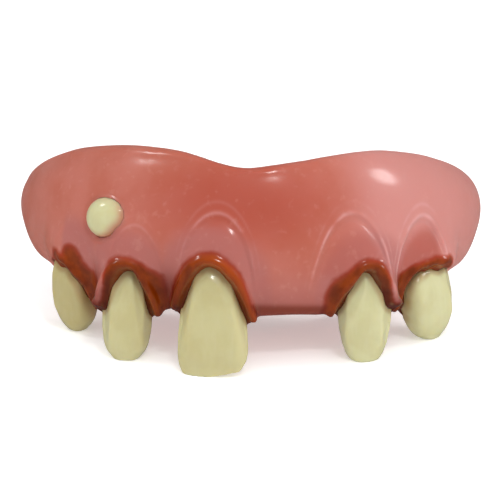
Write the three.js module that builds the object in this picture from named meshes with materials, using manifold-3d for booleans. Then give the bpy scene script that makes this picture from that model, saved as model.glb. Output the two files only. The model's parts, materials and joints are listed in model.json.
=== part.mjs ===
// Novelty fake teeth: a moulded pink gum plate that pushes up over the wearer's own upper teeth, five
// crooked crowns set in its front ridge, and one stray bud that breaks through the gum above them.
// Millimetres, +Z up, and the front faces -Y. Left and right are as seen from the front.
// The gum is laid out level, with its front at y = 0 and its lower edge near z = 0. The whole piece then
// leans back until all five crowns stand on one plane, which is how it rests on a table.

import * as THREE from "three";
import { mergeVertices } from "three/addons/utils/BufferGeometryUtils.js";
import Module from "manifold-3d";

const wasm = await Module();
wasm.setup();

// Driving dimensions of the whole piece
const GUM_WIDTH = 61.6;
const ARCH_DEPTH = 31;
const LEAN_DEG = 20;
const STANDING_DROP = 8.2; // front lower edge of the gum to the standing plane
const SOCKET_GAP = 0.3;

// The gum's front wall
const WALL = 3;
const FULLEST_SHARE = 0.52; // height of the fullest line, as a share of the wall's height
const EDGE_SHARE = 0.25; // share of the wall that its rounded edges add above and below
const EMINENCE = 0.8; // how far the gum swells over each root
const EMINENCE_UP = 5.5;
const EMINENCE_REACH = 6.5;

// The ridge that holds the roots. It fades into the wall at its ends.
const RIDGE_REACH = 8.3;
const RIDGE_HEIGHT = 11;
const RIDGE_END_REACH = 5.4;
const RIDGE_END_HEIGHT = 3.6;
const RIDGE_END_DEG = 69;
const RIDGE_FADE_DEG = 14;

// The tray behind the ridge, where the wearer's teeth bite, and its short lip
const TRAY_REACH = 18.2;
const TRAY_END_REACH = 10.3;
const TRAY_LIP_UP = 8.5;
const TRAY_END_LIP_UP = 3.4;
const TRAY_HIGHEST_FOOT = 0.6;
const TRAY_END_DEG = 52;
const TRAY_CORNER_DEG = 11; // stretch of the arch over which the tray's back corners round off

// The rolled margin of gum round each crown
const MARGIN_PROUD = 0.75;
const MARGIN_HALF_HEIGHT = 1.05;
const SLEEVE_SHARE = 0.7; // share of a root that the margin's sleeve goes up
const SCALLOP_REACH = 1.5; // how far from a crown the gum is cut away below its margin
const SCALLOP_DROP = 0.7; // how far below the roll's middle that cut starts

// The bud above the crowns
const BUD_ANGLE = -36;
const BUD_UP = 11.9;
const BUD_HALF_WIDTH = 2.75;
const BUD_HALF_HEIGHT = 2.45;
const BUD_HALF_DEPTH = 1.7;
const BUD_SUNK = 0.35;

// Mesh fineness
const WALL_STEPS = 56;
const PROFILE_STEPS = 11;
const EDGE_STEPS = 4;
const RIDGE_STEPS = 32;
const TOOTH_SIDES = 18;
const MARGIN_STEPS = 14;
const MARGIN_SIDES = 8;

const DEG = Math.PI / 180;

// Sections of the gum's front wall along the arch: its lower edge and upper rim, and how far each of
// them sets back from the wall's fullest line.
const WALL_TABLE = [
  { angle: -93, low: 12.8, high: 15.2, lowIn: 0.15, highIn: 0.15 },
  { angle: -90, low: 10.8, high: 17.1, lowIn: 0.7, highIn: 0.7 },
  { angle: -83, low: 9, high: 18.4, lowIn: 1.3, highIn: 1.2 },
  { angle: -75, low: 6.9, high: 19.5, lowIn: 2, highIn: 1.9 },
  { angle: -66, low: 5.5, high: 20.4, lowIn: 2.6, highIn: 2.4 },
  { angle: -60, low: 4.2, high: 20.8, lowIn: 2.8, highIn: 2.6 },
  { angle: -54, low: 1.4, high: 21.2, lowIn: 3, highIn: 2.8 },
  { angle: -46, low: 0.3, high: 21.4, lowIn: 3.2, highIn: 3 },
  { angle: -36, low: 0.2, high: 21.4, lowIn: 3.3, highIn: 2.8 },
  { angle: -26, low: 0.3, high: 21, lowIn: 3.4, highIn: 2.4 },
  { angle: -17, low: 0.6, high: 20.2, lowIn: 3.4, highIn: 1.8 },
  { angle: -9, low: 0.2, high: 18.8, lowIn: 3.4, highIn: 1.2 },
  { angle: -2, low: 0, high: 18, lowIn: 3.4, highIn: 1 },
  { angle: 5, low: 0, high: 18.5, lowIn: 3.4, highIn: 1.1 },
  { angle: 12, low: 0.2, high: 19.2, lowIn: 3.4, highIn: 1.5 },
  { angle: 20, low: 0.2, high: 20.1, lowIn: 3.4, highIn: 2 },
  { angle: 28, low: 0.2, high: 20.8, lowIn: 3.4, highIn: 2.4 },
  { angle: 36, low: 0.5, high: 21.3, lowIn: 3.3, highIn: 2.8 },
  { angle: 46, low: 0.9, high: 21.3, lowIn: 3.2, highIn: 3 },
  { angle: 54, low: 1.8, high: 21.1, lowIn: 3, highIn: 2.8 },
  { angle: 60, low: 4.2, high: 20.8, lowIn: 2.8, highIn: 2.6 },
  { angle: 66, low: 5.4, high: 20.5, lowIn: 2.6, highIn: 2.4 },
  { angle: 75, low: 6.8, high: 19.8, lowIn: 2, highIn: 1.9 },
  { angle: 83, low: 8.9, high: 18.8, lowIn: 1.3, highIn: 1.2 },
  { angle: 90, low: 10.6, high: 17.4, lowIn: 0.7, highIn: 0.7 },
  { angle: 93, low: 12.8, high: 15.4, lowIn: 0.15, highIn: 0.15 },
];

// Corners of the ridge's section: a share of its reach plus an inset, and a share of its height.
const RIDGE_TABLE = [
  { reach: 0, inset: 4.6, rise: 0.05 },
  { reach: 1, inset: 0.1, rise: 0.05 },
  { reach: 1, inset: 0.3, rise: 0.35 },
  { reach: 1, inset: -0.4, rise: 0.7 },
  { reach: 0.72, inset: 0, rise: 0.92 },
  { reach: 0, inset: 2.2, rise: 1.04 },
  { reach: 0, inset: 1.6, rise: 0.6 },
  { reach: 0, inset: 3.2, rise: 0.25 },
];

// Corners of the tray's section: a share of its reach plus an inset, and a share of its lip's height
// plus a rise. The floor is 2.1 mm thick and the lip 1.8 mm.
const TRAY_TABLE = [
  { reach: 0, inset: 6.6, lip: 0, rise: 0.5 },
  { reach: 1, inset: -0.6, lip: 0, rise: 0.5 },
  { reach: 1, inset: 0, lip: 0, rise: 1.1 },
  { reach: 1, inset: 0, lip: 1, rise: -0.5 },
  { reach: 1, inset: -0.5, lip: 1, rise: 0 },
  { reach: 1, inset: -1.3, lip: 1, rise: 0 },
  { reach: 1, inset: -1.8, lip: 1, rise: -0.4 },
  { reach: 1, inset: -2, lip: 0, rise: 2.6 },
  { reach: 0, inset: 6.6, lip: 0, rise: 2.6 },
];

// Shape of a crown and its root from the tip up, as shares of its length, width and depth.
const PEG_TABLE = [
  { along: 0, width: 0.42, depth: 0.4 },
  { along: 0.02, width: 0.6, depth: 0.56 },
  { along: 0.06, width: 0.78, depth: 0.74 },
  { along: 0.13, width: 0.91, depth: 0.88 },
  { along: 0.25, width: 0.99, depth: 0.98 },
  { along: 0.4, width: 1, depth: 1 },
  { along: 0.58, width: 0.94, depth: 0.96 },
  { along: 0.75, width: 0.82, depth: 0.83 },
  { along: 0.9, width: 0.62, depth: 0.62 },
  { along: 1, width: 0.34, depth: 0.34 },
];
const CANINE_TABLE = [
  { along: 0, width: 0.3, depth: 0.36 },
  { along: 0.02, width: 0.44, depth: 0.5 },
  { along: 0.06, width: 0.62, depth: 0.66 },
  { along: 0.13, width: 0.79, depth: 0.81 },
  { along: 0.25, width: 0.94, depth: 0.95 },
  { along: 0.42, width: 1, depth: 1 },
  { along: 0.6, width: 0.95, depth: 0.96 },
  { along: 0.76, width: 0.83, depth: 0.83 },
  { along: 0.9, width: 0.62, depth: 0.62 },
  { along: 1, width: 0.34, depth: 0.34 },
];
const INCISOR_TABLE = [
  { along: 0, width: 0.74, depth: 0.3 },
  { along: 0.02, width: 0.86, depth: 0.38 },
  { along: 0.06, width: 0.95, depth: 0.48 },
  { along: 0.14, width: 1, depth: 0.62 },
  { along: 0.3, width: 0.98, depth: 0.8 },
  { along: 0.48, width: 0.9, depth: 0.94 },
  { along: 0.64, width: 0.8, depth: 1 },
  { along: 0.8, width: 0.68, depth: 0.9 },
  { along: 0.93, width: 0.52, depth: 0.68 },
  { along: 1, width: 0.34, depth: 0.42 },
];

// The crowns from left to right: where the neck sits on the arch and how far in, where the tip lies
// from the neck, and the turn of its face.
const TOOTH_TABLE = [
  { name: "tooth_far_left", shape: CANINE_TABLE, angle: -52.2, inward: 2.7, aside: 0.3, back: 2.9, turn: 3,
    width: 6.3, depth: 5.4, root: 5 },
  { name: "tooth_left", shape: PEG_TABLE, angle: -32.5, inward: 2.8, aside: -0.2, back: 0.2, turn: 17,
    width: 6.3, depth: 5.6, root: 5 },
  { name: "tooth_centre", shape: INCISOR_TABLE, angle: -9.2, inward: 2.7, aside: 0.2, back: -0.4, turn: 3,
    width: 8.9, depth: 5.4, root: 5 },
  { name: "tooth_right", shape: PEG_TABLE, angle: 30.1, inward: 2.4, aside: 0.3, back: 2.2, turn: -13,
    width: 6.9, depth: 5.8, root: 5 },
  { name: "tooth_far_right", shape: CANINE_TABLE, angle: 51.8, inward: 2.7, aside: 1.2, back: 2.5, turn: -5,
    width: 7.6, depth: 5.8, root: 5 },
];

// The gum's margin on each crown: the turn and the height of its peak, and of its left and right ends.
const MARGIN_TABLE = {
  tooth_far_left: { peakTurn: 12, peakUp: 7.4, leftTurn: -95, leftUp: 5.6, rightTurn: 115, rightUp: 0.9 },
  tooth_left: { peakTurn: 15, peakUp: 6.2, leftTurn: -70, leftUp: 0.4, rightTurn: 98, rightUp: -0.2 },
  tooth_centre: { peakTurn: 0, peakUp: 6.7, leftTurn: -95, leftUp: 0.6, rightTurn: 95, rightUp: -0.6 },
  tooth_right: { peakTurn: -9, peakUp: 7, leftTurn: -105, leftUp: 0.6, rightTurn: 70, rightUp: 0.8 },
  tooth_far_right: { peakTurn: -15, peakUp: 7.4, leftTurn: -115, leftUp: 1.5, rightTurn: 95, rightUp: 5.6 },
};

const NECK_UP = 5;
const TIP_TRIM = 0.3; // length worn flat where a crown stands
const TOOTH_SQUARENESS = 2.3; // exponent of the crowns' rounded sections

const GUM_LOOK = { color: 0xc0675c, roughness: 0.28, metalness: 0 };
const TOOTH_LOOK = { color: 0xc9c48d, roughness: 0.32, metalness: 0 };

const clamp01 = (value) => Math.min(1, Math.max(0, value));
const smoothStep = (value) => {
  const t = clamp01(value);
  return t * t * (3 - 2 * t);
};

// Reads one column of a table at any place along its key, on a smooth curve through the rows.
function readTable(table, key, column, at) {
  const last = table.length - 1;
  let i = 0;
  while (i < last - 1 && at > table[i + 1][key]) i += 1;
  const slope = (row) => {
    const before = table[Math.max(0, row - 1)];
    const after = table[Math.min(last, row + 1)];
    return (after[column] - before[column]) / (after[key] - before[key]);
  };
  const span = table[i + 1][key] - table[i][key];
  const t = clamp01((at - table[i][key]) / span);
  const [t2, t3] = [t * t, t * t * t];
  return (
    table[i][column] * (2 * t3 - 3 * t2 + 1) +
    slope(i) * span * (t3 - 2 * t2 + t) +
    table[i + 1][column] * (3 * t2 - 2 * t3) +
    slope(i + 1) * span * (t3 - t2)
  );
}

// The arch in plan: a point that lies so far outside the gum's fullest line, at a height.
function onArch(angle, outward, up) {
  const half = GUM_WIDTH / 2;
  const [sin, cos] = [Math.sin(angle * DEG), Math.cos(angle * DEG)];
  const normal = new THREE.Vector2(sin / half, -cos / ARCH_DEPTH).normalize();
  return new THREE.Vector3(
    half * sin + outward * normal.x,
    ARCH_DEPTH * (1 - cos) + outward * normal.y,
    up,
  );
}

// Direction in which the arch faces at an angle, in degrees from the front.
function facing(angle) {
  const out = onArch(angle, 1, 0).sub(onArch(angle, 0, 0));
  return Math.atan2(out.x, -out.y) / DEG;
}

// Triangles that fill an outline, turned the way that its points run.
function capFaces(outline) {
  const clockwise = THREE.ShapeUtils.isClockWise(outline);
  return THREE.ShapeUtils.triangulateShape(outline, []).map((face) => {
    const turned = THREE.ShapeUtils.isClockWise(face.map((i) => outline[i]));
    return turned === clockwise ? face : [face[0], face[2], face[1]];
  });
}

// Closed solid through rings of points, each ring with the same count. The ends are capped.
function loft(rings, capOutlines) {
  const count = rings[0].length;
  const positions = rings.flatMap((ring) => ring.flatMap((p) => [p.x, p.y, p.z]));
  const faces = [];
  for (let r = 0; r + 1 < rings.length; r += 1) {
    for (let i = 0; i < count; i += 1) {
      const next = (i + 1) % count;
      const [a, b] = [r * count + i, r * count + next];
      faces.push(a, b, b + count, a, b + count, a + count);
    }
  }
  const endStart = (rings.length - 1) * count;
  capFaces(capOutlines[0]).forEach(([a, b, c]) => faces.push(c, b, a));
  capFaces(capOutlines[1]).forEach((face) => faces.push(...face.map((i) => endStart + i)));
  return solidFrom(new Float32Array(positions), new Uint32Array(faces));
}

// A solid from raw triangles, turned right side out.
function solidFrom(vertProperties, triVerts) {
  const solid = new wasm.Manifold(new wasm.Mesh({ numProp: 3, vertProperties, triVerts }));
  if (solid.volume() > 0) return solid;
  for (let i = 0; i < triVerts.length; i += 3) {
    [triVerts[i + 1], triVerts[i + 2]] = [triVerts[i + 2], triVerts[i + 1]];
  }
  return new wasm.Manifold(new wasm.Mesh({ numProp: 3, vertProperties, triVerts }));
}

// A solid from a closed three.js geometry.
function solidOf(geometry) {
  const bare = geometry.clone();
  bare.deleteAttribute("normal");
  bare.deleteAttribute("uv");
  const merged = mergeVertices(bare);
  return solidFrom(new Float32Array(merged.attributes.position.array), new Uint32Array(merged.index.array));
}

// A named mesh from a solid, with a material of its own.
function meshOf(name, solid, look) {
  const { vertProperties, triVerts } = solid.getMesh();
  const geometry = new THREE.BufferGeometry();
  geometry.setAttribute("position", new THREE.BufferAttribute(vertProperties, 3));
  geometry.setIndex(new THREE.BufferAttribute(triVerts, 1));
  geometry.computeVertexNormals();
  const mesh = new THREE.Mesh(geometry, new THREE.MeshStandardMaterial(look));
  mesh.name = name;
  return mesh;
}

// Sweeps a section along the arch. Its points hold the way outward and the way up.
function sweepArch(fromAngle, toAngle, steps, sectionAt) {
  const rings = [];
  const outlines = [];
  for (let s = 0; s <= steps; s += 1) {
    const angle = fromAngle + ((toAngle - fromAngle) * s) / steps;
    const section = sectionAt(angle);
    rings.push(section.map((p) => onArch(angle, p.x, p.y)));
    outlines.push(section);
  }
  return loft(rings, [outlines[0], outlines[steps]]);
}

// How far the gum swells outward over the roots at a place on the front wall.
function eminence(angle, up) {
  const here = onArch(angle, 0, 0);
  let most = 0;
  TOOTH_TABLE.forEach((tooth) => {
    const aside = here.distanceTo(onArch(tooth.angle, 0, 0)) / (tooth.width * 0.75);
    const above = (up - EMINENCE_UP) / EMINENCE_REACH;
    most = Math.max(most, EMINENCE * smoothStep(1 - aside * aside) * smoothStep(1 - above * above));
  });
  return most;
}

// Outer face of the front wall at a share of its height.
function wallFace(angle, share) {
  const column = (name) => readTable(WALL_TABLE, "angle", name, angle);
  const edge = WALL * EDGE_SHARE * clamp01((column("high") - column("low")) / (2 * WALL));
  const low = column("low") + edge;
  const high = column("high") - edge;
  const fromFullest = share - FULLEST_SHARE;
  const setBack = fromFullest < 0
    ? column("lowIn") * (fromFullest / FULLEST_SHARE) ** 2
    : column("highIn") * (fromFullest / (1 - FULLEST_SHARE)) ** 2.4;
  const up = low + (high - low) * share;
  return new THREE.Vector2(eminence(angle, up) - setBack, up);
}

// Section of the front wall: outer face, rounded rim, inner face and rounded lower edge.
function wallSection(angle) {
  const outer = [];
  for (let i = 0; i <= PROFILE_STEPS; i += 1) outer.push(wallFace(angle, i / PROFILE_STEPS));
  const height = outer[PROFILE_STEPS].y - outer[0].y;
  const thickness = Math.min(WALL, 0.45 * height + 0.2);
  const normals = outer.map((p, i) => {
    const along = outer[Math.min(i + 1, PROFILE_STEPS)].clone().sub(outer[Math.max(i - 1, 0)]);
    return new THREE.Vector2(along.y, -along.x).normalize();
  });
  const inner = outer.map((p, i) => p.clone().addScaledVector(normals[i], -thickness));
  const roundEdge = (from, to) => {
    const centre = from.clone().add(to).multiplyScalar(0.5);
    const arm = from.clone().sub(centre);
    const points = [];
    for (let i = 1; i < EDGE_STEPS; i += 1) {
      points.push(arm.clone().rotateAround(new THREE.Vector2(), (Math.PI * i) / EDGE_STEPS).add(centre));
    }
    return points;
  };
  const rim = roundEdge(outer[PROFILE_STEPS], inner[PROFILE_STEPS]);
  const lower = roundEdge(inner[0], outer[0]);
  return [...outer, ...rim, ...inner.reverse(), ...lower];
}

// Section of the ridge behind the wall's lower half.
function ridgeSection(angle) {
  const low = readTable(WALL_TABLE, "angle", "low", angle);
  const fade = smoothStep((RIDGE_END_DEG - Math.abs(angle)) / RIDGE_FADE_DEG);
  const reach = THREE.MathUtils.lerp(RIDGE_END_REACH, RIDGE_REACH, fade);
  const height = THREE.MathUtils.lerp(RIDGE_END_HEIGHT, RIDGE_HEIGHT, fade);
  return RIDGE_TABLE.map(
    (corner) => new THREE.Vector2(-corner.reach * reach - corner.inset, low + corner.rise * height),
  );
}

// Section of the bite tray. Towards its ends the reach and the lip shrink along a quarter round.
function traySection(angle) {
  const low = Math.min(TRAY_HIGHEST_FOOT, readTable(WALL_TABLE, "angle", "low", angle));
  const intoCorner = clamp01((Math.abs(angle) - TRAY_END_DEG) / TRAY_CORNER_DEG + 1);
  const round = Math.sqrt(1 - intoCorner * intoCorner);
  const reach = THREE.MathUtils.lerp(TRAY_END_REACH, TRAY_REACH, round);
  const lipUp = THREE.MathUtils.lerp(TRAY_END_LIP_UP, TRAY_LIP_UP, round);
  return TRAY_TABLE.map(
    (corner) =>
      new THREE.Vector2(-corner.reach * reach - corner.inset, low + corner.lip * lipUp + corner.rise),
  );
}

// Height of the standing plane at a depth, in the level frame of the gum.
const standingUp = (y) => y * Math.tan(LEAN_DEG * DEG) - STANDING_DROP;

// Axes of a crown: its tip on the standing plane, and the ways up, across and out of its face. The root
// above the neck stands straight up in the ridge.
function toothAxes(tooth) {
  const neck = onArch(tooth.angle, -tooth.inward, NECK_UP);
  const tip = neck.clone().add(new THREE.Vector3(tooth.aside, tooth.back, 0));
  tip.z = standingUp(tip.y);
  const up = neck.clone().sub(tip).normalize();
  const face = (facing(tooth.angle) + tooth.turn) * DEG;
  const out = new THREE.Vector3(Math.sin(face), -Math.cos(face), 0);
  out.addScaledVector(up, -out.dot(up)).normalize();
  const across = up.clone().cross(out);
  return { tip, neck, up, out, across, crown: neck.distanceTo(tip) };
}

// A point on a crown's surface: height along its axis from the tip, and turn round it from its face.
function toothPoint(tooth, axes, height, turnDeg, grow) {
  const length = axes.crown + tooth.root;
  const share = clamp01(height / length);
  const halfWidth = (readTable(tooth.shape, "along", "width", share) * tooth.width) / 2 + grow;
  const halfDepth = (readTable(tooth.shape, "along", "depth", share) * tooth.depth) / 2 + grow;
  const round = (value) => Math.sign(value) * Math.abs(value) ** (2 / TOOTH_SQUARENESS);
  const centre = axes.tip.clone().addScaledVector(axes.up, Math.min(height, axes.crown));
  centre.z += Math.max(0, height - axes.crown);
  return centre
    .addScaledVector(axes.across, halfWidth * round(Math.sin(turnDeg * DEG)))
    .addScaledVector(axes.out, halfDepth * round(Math.cos(turnDeg * DEG)));
}

// A crown with its root, or with grow the socket that it sits in.
function toothSolid(tooth, grow) {
  const axes = toothAxes(tooth);
  const length = axes.crown + tooth.root;
  const turns = Array.from({ length: TOOTH_SIDES }, (_, i) => (360 * i) / TOOTH_SIDES);
  const rings = tooth.shape.map(({ along }) => {
    const ring = turns.map((turn) => toothPoint(tooth, axes, along * length, turn, grow));
    const stretch = along === 1 ? grow : along === 0 ? -TIP_TRIM - grow : 0;
    return ring.map((p) => p.addScaledVector(axes.up, stretch));
  });
  const outline = turns.map((turn) => new THREE.Vector2(Math.sin(turn * DEG), Math.cos(turn * DEG)));
  return loft(rings, [outline, outline]);
}

// A block under the standing plane, which trims the tips flat.
function underStandingPlane() {
  const thick = 2 * STANDING_DROP;
  const block = new THREE.BoxGeometry(2 * GUM_WIDTH, 2 * GUM_WIDTH, thick).translate(0, 0, -thick / 2);
  block.rotateX(LEAN_DEG * DEG).translate(0, 0, -STANDING_DROP);
  return solidOf(block);
}

// A place along a crown's margin, from -1 at its left end over its peak at 0 to 1 at its right end: the
// turn round the crown and the height up its axis.
function marginPlace(tooth, axes, share) {
  const margin = MARGIN_TABLE[tooth.name];
  const [endTurn, endUp] = share < 0 ? [margin.leftTurn, margin.leftUp] : [margin.rightTurn, margin.rightUp];
  const turn = margin.peakTurn + (endTurn - margin.peakTurn) * Math.abs(share);
  const up = endUp + (margin.peakUp - endUp) * Math.cos(share * 90 * DEG);
  return { turn, height: (up - axes.tip.z) / axes.up.z };
}

// Shares of the margin at which its rings lie, from end to end.
const marginShares = () => Array.from({ length: MARGIN_STEPS + 1 }, (_, s) => (2 * s) / MARGIN_STEPS - 1);

// The rolled margin of gum that arches over a crown and runs down its two sides. Each stretch of the roll
// goes on up the root as a sleeve and is filled back to the root's middle, so that it grows out of the ridge.
function marginSolid(tooth) {
  const axes = toothAxes(tooth);
  const sides = Array.from({ length: MARGIN_SIDES }, (_, i) => (360 * i) / MARGIN_SIDES);
  const pathPoint = (share) => {
    const { turn, height } = marginPlace(tooth, axes, share);
    return toothPoint(tooth, axes, height, turn, MARGIN_PROUD * 0.25);
  };
  const rings = marginShares().map((share) => {
    const centre = pathPoint(share);
    const along = pathPoint(share + 0.02).sub(pathPoint(share - 0.02)).normalize();
    const away = centre.clone().sub(axes.tip);
    away.addScaledVector(axes.up, -away.dot(axes.up)).addScaledVector(along, -away.dot(along)).normalize();
    const over = along.clone().cross(away);
    const taper = 1 - 0.5 * share * share;
    return sides.map((side) =>
      centre
        .clone()
        .addScaledVector(away, taper * MARGIN_PROUD * Math.cos(side * DEG))
        .addScaledVector(over, taper * MARGIN_HALF_HEIGHT * Math.sin(side * DEG))
        .toArray(),
    );
  });
  const sleeve = marginShares().map((share) => {
    const { turn } = marginPlace(tooth, axes, share);
    return toothPoint(tooth, axes, axes.crown + tooth.root * SLEEVE_SHARE, turn, MARGIN_PROUD).toArray();
  });
  const rootHead = [axes.neck.x, axes.neck.y, axes.neck.z + tooth.root * SLEEVE_SHARE];
  const stretches = rings
    .slice(1)
    .map((ring, s) => wasm.Manifold.hull([...rings[s], ...ring, sleeve[s], sleeve[s + 1], rootHead]));
  return wasm.Manifold.union(stretches);
}

// The scallop below a margin, where the gum is cut away so that the crown shows.
function scallopSolid(tooth) {
  const axes = toothAxes(tooth);
  const rings = marginShares().map((share) => {
    const { turn, height } = marginPlace(tooth, axes, share);
    return [
      toothPoint(tooth, axes, height - SCALLOP_DROP, turn, -1),
      toothPoint(tooth, axes, height - SCALLOP_DROP, turn, SCALLOP_REACH),
      toothPoint(tooth, axes, 0, turn, SCALLOP_REACH),
      toothPoint(tooth, axes, 0, turn, -0.4),
    ].map((p) => p.toArray());
  });
  const stretches = rings.slice(1).map((ring, s) => wasm.Manifold.hull([...rings[s], ...ring]));
  return wasm.Manifold.union(stretches);
}

// The bud: an egg-shaped bead sunk in the gum, or with grow its socket.
function budSolid(grow) {
  const bead = new THREE.SphereGeometry(1, 16, 12);
  bead.scale(BUD_HALF_WIDTH + grow, BUD_HALF_DEPTH + grow, BUD_HALF_HEIGHT + grow);
  bead.rotateZ(facing(BUD_ANGLE) * DEG);
  const place = onArch(BUD_ANGLE, wallFaceOut(BUD_ANGLE, BUD_UP) - BUD_SUNK, BUD_UP);
  return solidOf(bead.translate(place.x, place.y, place.z));
}

// How far out the front wall's face lies at a height.
function wallFaceOut(angle, up) {
  const [foot, head] = [wallFace(angle, 0).y, wallFace(angle, 1).y];
  return wallFace(angle, (up - foot) / (head - foot)).x;
}

// The gum plate: wall, ridge, tray and margins in one moulded piece, with a socket for each tooth.
function gumPlate() {
  const [first, last] = [WALL_TABLE[0].angle, WALL_TABLE[WALL_TABLE.length - 1].angle];
  let gum = sweepArch(first, last, WALL_STEPS, wallSection)
    .add(sweepArch(-RIDGE_END_DEG, RIDGE_END_DEG, RIDGE_STEPS, ridgeSection))
    .add(sweepArch(-TRAY_END_DEG, TRAY_END_DEG, RIDGE_STEPS, traySection));
  TOOTH_TABLE.forEach((tooth) => {
    gum = gum.subtract(scallopSolid(tooth));
  });
  TOOTH_TABLE.forEach((tooth) => {
    gum = gum.add(marginSolid(tooth));
  });
  TOOTH_TABLE.forEach((tooth) => {
    gum = gum.subtract(toothSolid(tooth, SOCKET_GAP));
  });
  return gum.subtract(budSolid(SOCKET_GAP));
}

const level = new THREE.Group();
level.add(meshOf("gum_plate", gumPlate(), GUM_LOOK));
const floor = underStandingPlane();
TOOTH_TABLE.forEach((tooth) => {
  level.add(meshOf(tooth.name, toothSolid(tooth, 0).subtract(floor), TOOTH_LOOK));
});
level.add(meshOf("tooth_bud", budSolid(0), TOOTH_LOOK));
level.rotation.x = -LEAN_DEG * DEG;

// Stand the piece over the origin: the middle of its box, on the plane that the tips share.
const fakeTeeth = new THREE.Group();
fakeTeeth.add(level);
const box = new THREE.Box3().setFromObject(fakeTeeth, true);
const middle = box.getCenter(new THREE.Vector3());
level.position.set(-middle.x, -middle.y, -box.min.z);

export default fakeTeeth;
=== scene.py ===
# %% [markdown]
# # Novelty fake teeth
# The real thing is a joke denture: a pink acrylic gum that clips over the wearer's own upper teeth,
# with five crooked ivory crowns and one stray bud growing out of it. The CAD part already has the
# right size and place, so this lesson starts from it and adds what plain solids lack: a soft moulded
# skin, swollen roots, a brown stain round every neck, and plastics that light can sink into. Blender
# counts in metres. The lesson counts in millimetres and degrees, and MM turns the one into the other.

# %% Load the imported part
import json
import math

import bpy
import numpy as np
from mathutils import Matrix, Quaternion, Vector
from mathutils.bvhtree import BVHTree

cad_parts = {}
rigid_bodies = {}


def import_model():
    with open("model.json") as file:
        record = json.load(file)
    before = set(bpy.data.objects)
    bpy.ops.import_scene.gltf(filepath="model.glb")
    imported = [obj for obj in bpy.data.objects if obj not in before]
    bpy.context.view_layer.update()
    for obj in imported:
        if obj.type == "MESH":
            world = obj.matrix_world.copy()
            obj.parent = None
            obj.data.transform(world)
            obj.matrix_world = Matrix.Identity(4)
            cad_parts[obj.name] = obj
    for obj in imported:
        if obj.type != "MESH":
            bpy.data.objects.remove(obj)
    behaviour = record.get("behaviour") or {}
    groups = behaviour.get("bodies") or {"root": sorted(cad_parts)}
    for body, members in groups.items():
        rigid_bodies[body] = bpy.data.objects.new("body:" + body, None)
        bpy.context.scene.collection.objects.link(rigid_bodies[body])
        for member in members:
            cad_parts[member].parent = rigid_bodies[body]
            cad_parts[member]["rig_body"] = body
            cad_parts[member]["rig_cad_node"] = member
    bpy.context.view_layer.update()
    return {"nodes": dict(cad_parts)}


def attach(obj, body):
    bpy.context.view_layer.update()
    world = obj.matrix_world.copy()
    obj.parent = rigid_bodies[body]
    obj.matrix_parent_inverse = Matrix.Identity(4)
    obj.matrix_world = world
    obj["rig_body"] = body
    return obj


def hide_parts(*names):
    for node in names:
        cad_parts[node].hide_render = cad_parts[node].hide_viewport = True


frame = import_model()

MM = 0.001

# %% [markdown]
# ## Camera
# A long lens from 30 cm away, looking down by as much as the piece leans back, so that the gum's lower
# edge looks level. The camera comes first, because every later choice is judged through it.

# %% Set up the camera
LEAN = math.radians(20)
FRONT_WAY = Vector((0, -math.cos(LEAN), math.sin(LEAN)))
AIM = Vector((0, -8, 12.95)) * MM
AWAY = 300 * MM
ROLL = math.radians(1)

bpy.ops.object.camera_add(location=AIM + AWAY * FRONT_WAY)
camera = bpy.context.object
camera.rotation_mode = "QUATERNION"
camera.rotation_quaternion = (-FRONT_WAY).to_track_quat("-Z", "Y") @ Quaternion((0, 0, 1), ROLL)
camera.data.sensor_width = 36
camera.data.lens = 173.6
camera.data.clip_start = 0.01
bpy.context.scene.camera = camera
print("camera at, mm:", [round(v / MM, 1) for v in camera.location])

# %% [markdown]
# ## Selecting and finishing
# Operators act on whatever is selected, and the loader leaves every CAD node selected. So each step
# first picks one piece alone. Modifiers are added and applied at once, because the finished mesh is
# what other programs get to see. A CAD node is made of loose triangles, so a copy of it is merged.

# %% Helpers for picking a piece and applying a modifier
MERGE_WITHIN = 0.002


def pick(piece):
    bpy.ops.object.select_all(action="DESELECT")
    piece.select_set(True)
    bpy.context.view_layer.objects.active = piece
    return piece


def finish_with(piece, kind, **settings):
    pick(piece)
    bpy.ops.object.modifier_add(type=kind)
    modifier = piece.modifiers[-1]
    for name, value in settings.items():
        setattr(modifier, name, value)
    bpy.ops.object.modifier_apply(modifier=modifier.name)


def copy_node(node, name):
    pick(frame["nodes"][node])
    bpy.ops.object.duplicate()
    piece = bpy.context.object
    bpy.ops.object.parent_clear(type="CLEAR")
    piece.name = piece.data.name = name
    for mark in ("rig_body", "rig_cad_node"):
        del piece[mark]
    bpy.ops.object.mode_set(mode="EDIT")
    bpy.ops.mesh.select_all(action="SELECT")
    bpy.ops.mesh.remove_doubles(threshold=MERGE_WITHIN * MM)
    bpy.ops.object.mode_set(mode="OBJECT")
    return piece


print("helpers ready for", len(frame["nodes"]), "nodes")

# %% [markdown]
# ## Reading places on the gum
# The gum bends round an arch and leans back. Most features are easier to place on the unrolled wall:
# an angle along the arch, a height above the gum's foot, and how far a point lies outside the arch.
# These helpers turn vertex places into those three numbers, and measure how far a point is from a mesh.
# The last one, fade, says how much a point takes part: it goes softly from 0 at one reading to 1 at
# another, so that what follows has no hard edges.

# %% Helpers for measuring places
ARCH_HALF_WIDTH = 30.8
ARCH_DEPTH = 31.0
FOOT = np.array((0.0, -17.491, 7.706))


def points_of(piece):
    places = np.empty(len(piece.data.vertices) * 3)
    piece.data.vertices.foreach_get("co", places)
    return places.reshape(-1, 3)


def normals_of(piece):
    normals = np.empty(len(piece.data.vertices) * 3)
    piece.data.vertex_normals.foreach_get("vector", normals)
    return normals.reshape(-1, 3)


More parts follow.
